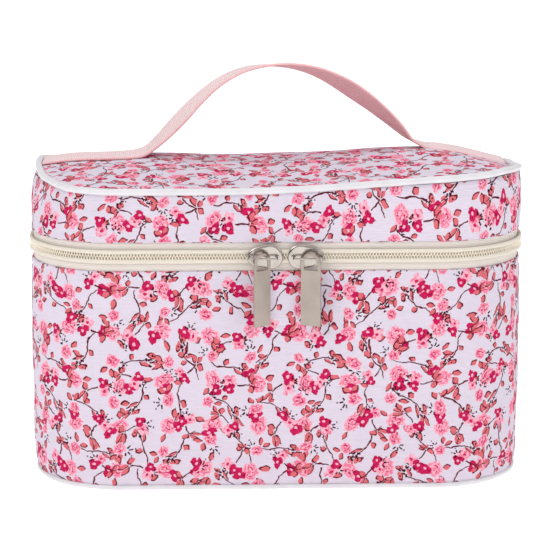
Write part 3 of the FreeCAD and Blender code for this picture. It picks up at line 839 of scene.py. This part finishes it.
def threads(name, starts, ends, radius, body, material):
    """Short stitches, each a little capsule from a start to an end point."""
    starts, ends = np.asarray(starts, float), np.asarray(ends, float)
    ahead = ends - starts
    length = np.linalg.norm(ahead, axis=1, keepdims=True)
    ahead = ahead / length
    up = np.broadcast_to([0.0, 0.0, 1.0], ahead.shape)
    up = np.where(np.abs(ahead[:, 2:3]) > 0.9, [0.0, 1.0, 0.0], up)
    across = np.cross(ahead, up)
    across /= np.linalg.norm(across, axis=1, keepdims=True)
    up = np.cross(across, ahead)
    sides = 6
    turns = np.linspace(0, 2 * math.pi, sides, endpoint=False)
    rings = ((0.0, 0.45), (0.14, 0.95), (0.5, 1.0), (0.86, 0.95), (1.0, 0.45))
    points, faces = [], []
    for share, swell in rings:
        for turn in turns:
            spoke = across * math.cos(turn) + up * math.sin(turn)
            points.append(starts + ahead * length * share + spoke * radius * swell)
    points = np.stack(points, 1)
    quads, _, _ = grid_faces(len(rings), sides, False, True)
    one = [tuple(q) for q in quads]
    one += [tuple(range(sides)), tuple((len(rings) - 1) * sides + k for k in reversed(range(sides)))]
    per = len(rings) * sides
    for k in range(len(starts)):
        faces += [tuple(k * per + corner for corner in face) for face in one]
    finished(build(name, points.reshape(-1, 3), faces), None, body, material=material)


STITCH, STITCH_STEP, THREAD_RADIUS = 2.5, 3.3, 0.17


def wall_stitches(name, z, wall, body):
    along = np.arange(3 - ZIP_RUN, ZIP_RUN - 4, STITCH_STEP)
    rows = []
    for run in (along, along + STITCH):
        level = np.full_like(run, z)
        inset, height = wall(run, np.zeros_like(run), level, -ZIP_RUN, ZIP_RUN)
        x, y, _, _ = outline(run, inset - 0.02)
        rows.append(np.stack([x, y, height], -1))
    threads(name, *rows, THREAD_RADIUS, body, THREAD)


def zip_parts():
    zip_tape("lower_tape", 95.0, ZIP_MID - 0.2, unshaped, "base", "lower_zipper_tape")
    zip_tape("upper_tape", ZIP_MID + 0.2, 119.5, lid_shape, "lid", "upper_zipper_tape")
    coil("lower_coil_teeth", -1, "base", "lower_coil")
    coil("upper_coil_teeth", 1, "lid", "upper_coil")
    wall_stitches("body_topstitch", BODY_STITCH, body_wall, "base")
    wall_stitches("lid_topstitch", LID_STITCH, lid_wall, "lid")


# ---- piping

def piping(name, height, radius, core, body, shape, cover_node, cord_node):
    """A piped edge: a smooth cover over a cord, once round the bag."""
    along = np.arange(0, ROUND, 1.6)
    signed = (along + ROUND / 2) % ROUND - ROUND / 2
    uneven = 0.1 * ripple(along, 0 * along, 24, 31 + int(height))
    inset, z = shape(signed, 1.0 + uneven, height + uneven * 0.6)
    x, y, _, _ = outline(along, inset)
    path = np.stack([x, y, z], -1)
    cover = tube(name, path, radius, sides=20, closed=True)
    finished(cover, "piping_cover", body, cover_node)
    cord = tube(name + "_cord", path, core, sides=10, closed=True)
    finished(cord, "piping_cord", body, cord_node)


# ---- lid top

def lid_skin(x, y, share, drop):
    """Height of the lid's top surface at a place, a share of the way from its rim to its middle."""
    crown = CROWN * (1 - (1 - share) ** 3.2)
    soft = 0.3 * (1 + ripple(x, y, 44, 21)) * smoothstep(share * 3)
    return TOP_PIPING - 0.2 + lid_rise(x, y) + crown + soft - drop


def lid_layer(name, inset, drop, thickness, slot, node):
    """One layer of the lid's top, from its rim to the ridge along its middle."""
    # stations in mirrored fours, so that the front and back halves meet point to point
    along = np.linspace(0, ROUND, 4 * 85, endpoint=False)[:, None]
    signed = (along + ROUND / 2) % ROUND - ROUND / 2
    share = (np.linspace(0, 1, 36) ** 1.4)[None, :]
    rim_x, rim_y, _, _ = outline(along, inset + lid_lean(signed))
    ridge_x = np.clip(rim_x, -RIDGE, RIDGE)
    x = rim_x + (ridge_x - rim_x) * share
    y = rim_y * (1 - share)
    points = np.stack([x, y, lid_skin(x, y, share, drop)], -1)
    rows, columns = points.shape[:2]
    faces, _, _ = grid_faces(rows, columns, True, False)
    flat = points.reshape(-1, 3)
    uv = flat[faces.ravel()][:, :2] + [430.0, 37.0]
    layer = build(name, flat, faces, uv)
    weld = layer.modifiers.new("weld", "WELD")
    weld.merge_threshold = 0.00002
    thick = layer.modifiers.new("thickness", "SOLIDIFY")
    thick.thickness = thickness * MM
    thick.offset = -1
    finished(layer, slot, "lid", node)
    if slot == "foam":
        return


def lid_ring(name, outer, inner, low, high, slot, node):
    """One layer of the lid's walls, carried along by the soft lid."""
    levels = np.linspace(low, high, 9)
    profile = [(outer, z) for z in levels] + [(inner, z) for z in levels[::-1]]
    signed = np.arange(0, ROUND, 2.4) - ROUND / 2
    layer = swept(name, signed, profile, lid_shape, closed=True)
    finished(layer, slot, "lid", node)
    return layer


def lid_layers():
    lid_layer("lid_top_cloth", RIM_INSET, 0.0, CLOTH, "printed_fabric", "lid_top_panel")
    lid_layer("lid_top_padding", 4.1, 0.95, 3.0, "foam", "lid_top_foam")
    lid_layer("lid_top_inside", 4.65, 4.0, 0.6, "lining_cloth", "lid_top_lining")
    padding = lid_ring("lid_wall_padding", 1.45, 3.95, 120.1, 135.0, "foam", "lid_foam_band")
    low, high = ZIP_HIGH + 0.1, 132.7
    lining = lid_ring("lid_wall_inside", 4.0, 4.6, low, high, "lining_cloth", "lid_lining")
    tapes = [
        lid_ring("lid_zip_binding", 1.4, 3.95, low, 120.0, "binding_tape", "lid_rim_binding"),
        lid_ring("lid_seam_tape", 4.65, 5.25, 125.9, 132.2, "binding_tape", "lid_seam_binding"),
    ]
    strip = (ROUND * MM, (high - low) * MM)


# ---- handle

RIBBON_WIDTH = 21.0
RIBBON_THICKNESS = 1.1
# the arch in side view: x, and height above the lid at the left foot
ARCH = (
    (-67.0, 0.0), (-61.0, 1.6), (-54.5, 6.8), (-45.5, 15.8), (-35.0, 26.6), (-25.5, 34.4),
    (-14.5, 39.8), (-3.0, 41.9), (9.0, 41.6), (21.0, 38.6), (33.0, 32.6), (45.5, 24.0),
    (56.5, 14.6), (64.0, 7.2), (68.5, 4.9),
)


def flat_run(x):
    """Height of the ribbon's middle where it lies on the lid."""
    reach = WIDTH / 2 - RIM_INSET
    share = np.clip((reach - np.abs(x)) / (reach - RIDGE), 0, 1)
    return lid_skin(x, 0 * x, share, 0.0) + RIBBON_THICKNESS / 2 + 0.1


def smooth_line(points, step):
    """A smooth curve through points (Catmull-Rom), resampled at equal steps."""
    points = np.asarray(points, float)
    padded = np.vstack([2 * points[0] - points[1], points, 2 * points[-1] - points[-2]])
    t = np.linspace(0, 1, 24, endpoint=False)[:, None]
    runs = []
    for k in range(len(points) - 1):
        a, b, c, d = padded[k : k + 4]
        runs.append(
            0.5 * (2 * b + (c - a) * t + (2 * a - 5 * b + 4 * c - d) * t**2
                   + (3 * b - a - 3 * c + d) * t**3)
        )
    line = np.vstack([*runs, points[-1:]])
    walk = np.concatenate([[0], np.cumsum(np.linalg.norm(np.diff(line, axis=0), axis=1))])
    at = np.linspace(0, walk[-1], int(walk[-1] / step) + 1)
    return np.stack([np.interp(at, walk, line[:, k]) for k in range(line.shape[1])], -1)


def handle():
    left, right = ARCH[0][0], ARCH[-1][0]
    base = float(flat_run(np.array(left)))
    lying_left = [(x, float(flat_run(np.array(x)))) for x in np.linspace(-109.0, left - 4, 9)]
    lying_right = [(x, float(flat_run(np.array(x)))) for x in np.linspace(right + 4, 109.0, 9)]
    arch = [(x, base + rise) for x, rise in ARCH]
    line = smooth_line(lying_left + arch + lying_right, 0.9)
    ahead = np.gradient(line, axis=0)
    ahead /= np.linalg.norm(ahead, axis=1, keepdims=True)
    walk = np.concatenate([[0], np.cumsum(np.linalg.norm(np.diff(line, axis=0), axis=1))])
    # the ribbon turns a little about its own length along the arch
    twist = np.interp(line[:, 0], (-67, -45, 9, 38, 58, 68.5), (0, 12, -11, -25, -15, 0))
    twist = np.radians(np.convolve(np.pad(twist, 9, "edge"), np.ones(19) / 19, "valid"))
    out = np.stack([-ahead[:, 1], 0 * walk, ahead[:, 0]], -1)
    side = np.broadcast_to([0.0, 1.0, 0.0], out.shape)
    cos, sin = np.cos(twist)[:, None], np.sin(twist)[:, None]
    width_way = side * cos + out * sin
    face_way = out * cos - side * sin
    half, lift = RIBBON_WIDTH / 2, RIBBON_THICKNESS / 2
    w = np.concatenate([np.linspace(-half + 0.3, half - 0.3, 15), [half], [half]])
    w = np.concatenate([w, -w])
    h = np.concatenate([np.full(15, lift), [lift * 0.45, -lift * 0.45]])
    h = np.concatenate([h, -h])
    middle = np.stack([line[:, 0], 0 * walk, line[:, 1]], -1)
    wide = width_way[:, None] * w[None, :, None]
    points = middle[:, None] + wide + face_way[:, None] * h[None, :, None]
    rows, columns = points.shape[:2]
    faces, r, c = grid_faces(rows, columns, False, True)
    c2 = (c + 1) % columns
    corners = ((r, c), (r + 1, c), (r + 1, c2), (r, c2))
    uv = np.stack([np.stack([walk[a], w[b]], -1) for a, b in corners], 1)
    # the underside faces are mapped past OTHER_FACE, so the ribbon material paints shade on them
    under = np.repeat(c >= columns // 2 - 1, 4) * 2 * OTHER_FACE
    uv = (uv.reshape(-1, 2) + np.stack([0 * under, under], -1)).tolist()
    faces = [tuple(f) for f in faces]
    add_ends(faces, uv, walk, w)
    ribbon = build("handle_ribbon", points.reshape(-1, 3), faces, uv)
    finished(ribbon, "handle_ribbon", None, "handle_strap", "handle_end_left", "handle_end_right")
    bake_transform(ribbon)
    # two rows of stitches across each foot
    starts, ends = [], []
    for x in (left - 3.0, left - 5.2, right + 3.4, right + 5.6):
        z = float(flat_run(np.array(x))) + RIBBON_THICKNESS / 2 + 0.04
        for y in np.arange(-half + 1.4, half - 2.4, 2.5):
            starts.append((x, y, z))
            ends.append((x, y + 1.8, z))
    threads("handle_stitches", starts, ends, THREAD_RADIUS, "lid", THREAD)


# ---- sliders and pulls

def rounded_plate(outline_points, layers):
    """A plate facing -Y made of one outline at several depths. layers are (y, growth) pairs."""
    outline_points = np.asarray(outline_points)
    centre = outline_points.mean(0)
    rings = []
    for y, growth in layers:
        away = outline_points - centre
        reach = np.linalg.norm(away, axis=1, keepdims=True)
        ring_points = centre + away * (reach + growth) / reach
        rings.append(np.stack([ring_points[:, 0], np.full(len(away), y), ring_points[:, 1]], -1))
    points = np.stack(rings)
    rows, columns = points.shape[:2]
    faces, _, _ = grid_faces(rows, columns, False, True)
    faces = [tuple(f) for f in faces]
    faces.append(tuple(reversed(range(columns))))
    faces.append(tuple((rows - 1) * columns + k for k in range(columns)))
    return build("plate", points.reshape(-1, 3), faces)


def slider(name, side):
    """A cast slider: a rounded front wing, a rear wing, the post between them and two bosses that hold
    the wire bail."""
    low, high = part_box(f"slider_{name}")
    low, high = np.array(low) * 1000, np.array(high) * 1000
    bail_low, bail_high = (np.array(corner) * 1000 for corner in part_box(f"slider_bail_{name}"))
    centre, half = (low[0] + high[0]) / 2, (high[0] - low[0]) / 2
    turn = np.linspace(0, 2 * math.pi, 56, endpoint=False)
    cos, sin = np.cos(turn), np.sin(turn)
    along = np.sign(cos) * np.abs(cos) ** 0.72
    tall = np.interp(along, (-1, -0.4, 0.4, 1), (5.7, 5.7, 4.9, 4.1))
    up = np.sign(sin) * np.abs(sin) ** 0.85 * tall
    shape = np.stack([centre + side * along * half, ZIP_MID + up], -1)
    front, back = low[1], high[1]
    pieces = [
        rounded_plate(
            shape,
            [(front, -1.1), (front + 0.12, -0.5), (front + 0.35, -0.12), (front + 0.6, 0),
             (front + 0.95, 0), (front + 1.1, -0.15)],
        ),
        rounded_plate(shape, [(back - 0.8, -0.9), (back - 0.6, -0.8), (back, -0.9)]),
    ]
    post_x = centre - side * (half - 2.8)
    post = np.array([(-1.8, -0.3), (1.8, -0.3), (1.8, 0.3), (-1.8, 0.3)]) + [post_x, ZIP_MID]
    pieces.append(rounded_plate(post, [(front + 0.9, 0), (back - 0.5, 0)]))
    for leg in (bail_low[0] + 0.45, bail_high[0] - 0.45):
        path = [(leg, front + 0.3, ZIP_MID), (leg, front - 0.5, ZIP_MID), (leg, front - 0.9, ZIP_MID)]
        pieces.append(tube("boss", path, 0.95, sides=16))
    body = joined(f"slider_cast_{name}", pieces)
    finished(body, "slider_metal", f"{name}_slider", f"slider_{name}")
    soften(body, 0.1)


def soften(piece, width):
    """Rounds the sharp edges of a hard piece, width millimetres wide."""
    weld = piece.modifiers.new("weld", "WELD")
    weld.merge_threshold = 0.000005
    bevel = piece.modifiers.new("rounding", "BEVEL")
    bevel.width = width * MM
    bevel.segments = 3
    bevel.limit_method = "ANGLE"
    bevel.angle_limit = math.radians(40)
    bevel.use_clamp_overlap = True


# ---- the rest of the CAD part

def cad_pieces():
    """Gives every CAD piece that is still shown the material of its slot."""
    slots = {row["node"]: row["material_slot"] for row in frame["record"]["subparts"]}
    for name, node in frame["nodes"].items():
        if node.hide_render:
            continue
        node.data.materials.clear()
        node.data.materials.append(MATERIALS[slots[name]])
        if name == "base_outer_panel":
            node.data.materials[0] = printed_fabric("printed_base", object_place)
        if name.startswith(("pull_tab", "slider_bail")):
            soften(node, 0.14)
    for name in ("base_outer_panel", "base_lining"):
        node = frame["nodes"][name]


# ---- studio

def studio():
    mesh = bpy.data.meshes.new("floor")
    mesh.from_pydata([(-4, -4, 0), (4, -4, 0), (4, 4, 0), (-4, 4, 0)], [], [(0, 1, 2, 3)])
    floor = bpy.data.objects.new("floor", mesh)
    bpy.context.scene.collection.objects.link(floor)
    material, _, shader = new_material("floor", 0.9, specular=0.0)
    shader.inputs["Base Color"].default_value = linear((250, 250, 250))
    shader.inputs["Emission Color"].default_value = (1, 1, 1, 1)
    shader.inputs["Emission Strength"].default_value = 0.45
    mesh.materials.append(material)
    world = bpy.data.worlds.new("studio")
    world.use_nodes = True
    tree = world.node_tree
    background = tree.nodes["Background"]
    rays = tree.nodes.new("ShaderNodeLightPath")
    seen = Field(tree, rays.outputs["Is Camera Ray"])
    mirrored = Field(tree, rays.outputs["Is Glossy Ray"])
    # metal reflects a dark room in front of a bright tent, as in a real studio
    coordinates = tree.nodes.new("ShaderNodeTexCoord")
    split = tree.nodes.new("ShaderNodeSeparateXYZ")
    tree.links.new(coordinates.outputs["Generated"], split.inputs[0])
    height = Field(tree, split.outputs[2])
    dark_room = ((height - 0.12).size() - 0.22).inside(0.1) * Field(tree, split.outputs[1]).below(-0.2)
    brightness = seen * 0.4 + 0.65 - dark_room * mirrored * 0.58
    tree.links.new(brightness.socket, background.inputs[1])
    background.inputs[0].default_value = (1, 1, 1, 1)
    bpy.context.scene.world = world
    target = np.array([0, 0, 0.09])
    for name, place, size, power in (
        ("key", (-0.9, -1.1, 1.2), 0.9, 9.0),
        ("fill", (1.2, -1.0, 0.7), 1.1, 3.6),
        ("top", (0.1, 0.3, 1.5), 1.0, 6.0),
    ):
        light = bpy.data.lights.new(name, "AREA")
        light.size = size
        light.energy = power
        lamp = bpy.data.objects.new(name, light)
        lamp.location = place
        aim = Vector(target - np.array(place))
        lamp.rotation_euler = aim.to_track_quat("-Z", "Y").to_euler()
        bpy.context.scene.collection.objects.link(lamp)
    azimuth, elevation, distance_away = math.radians(-1.6), math.radians(12.0), 1.04
    back = Vector((
        math.sin(azimuth) * math.cos(elevation),
        -math.cos(azimuth) * math.cos(elevation),
        math.sin(elevation),
    ))
    camera = bpy.data.objects.new("camera", bpy.data.cameras.new("camera"))
    camera.data.lens = 141.5
    camera.location = Vector((0.0007, 0, 0.0834)) + back * distance_away
    camera.rotation_euler = (-back).to_track_quat("-Z", "Y").to_euler()
    bpy.context.scene.collection.objects.link(camera)
    bpy.context.scene.camera = camera
    bpy.context.scene.view_settings.view_transform = "Standard"


walls()
zip_parts()
piping("bottom_edge", FOOT_PIPING, 1.1, 0.65, "base", unshaped, "bottom_piping", "bottom_piping_cord")
piping("top_edge", TOP_PIPING, 1.6, 1.05, "lid", lid_shape, "top_piping", "top_piping_cord")
lid_layers()
handle()
for slider_name, slider_side in (("left", -1), ("right", 1)):
    slider(slider_name, slider_side)
cad_pieces()
studio()
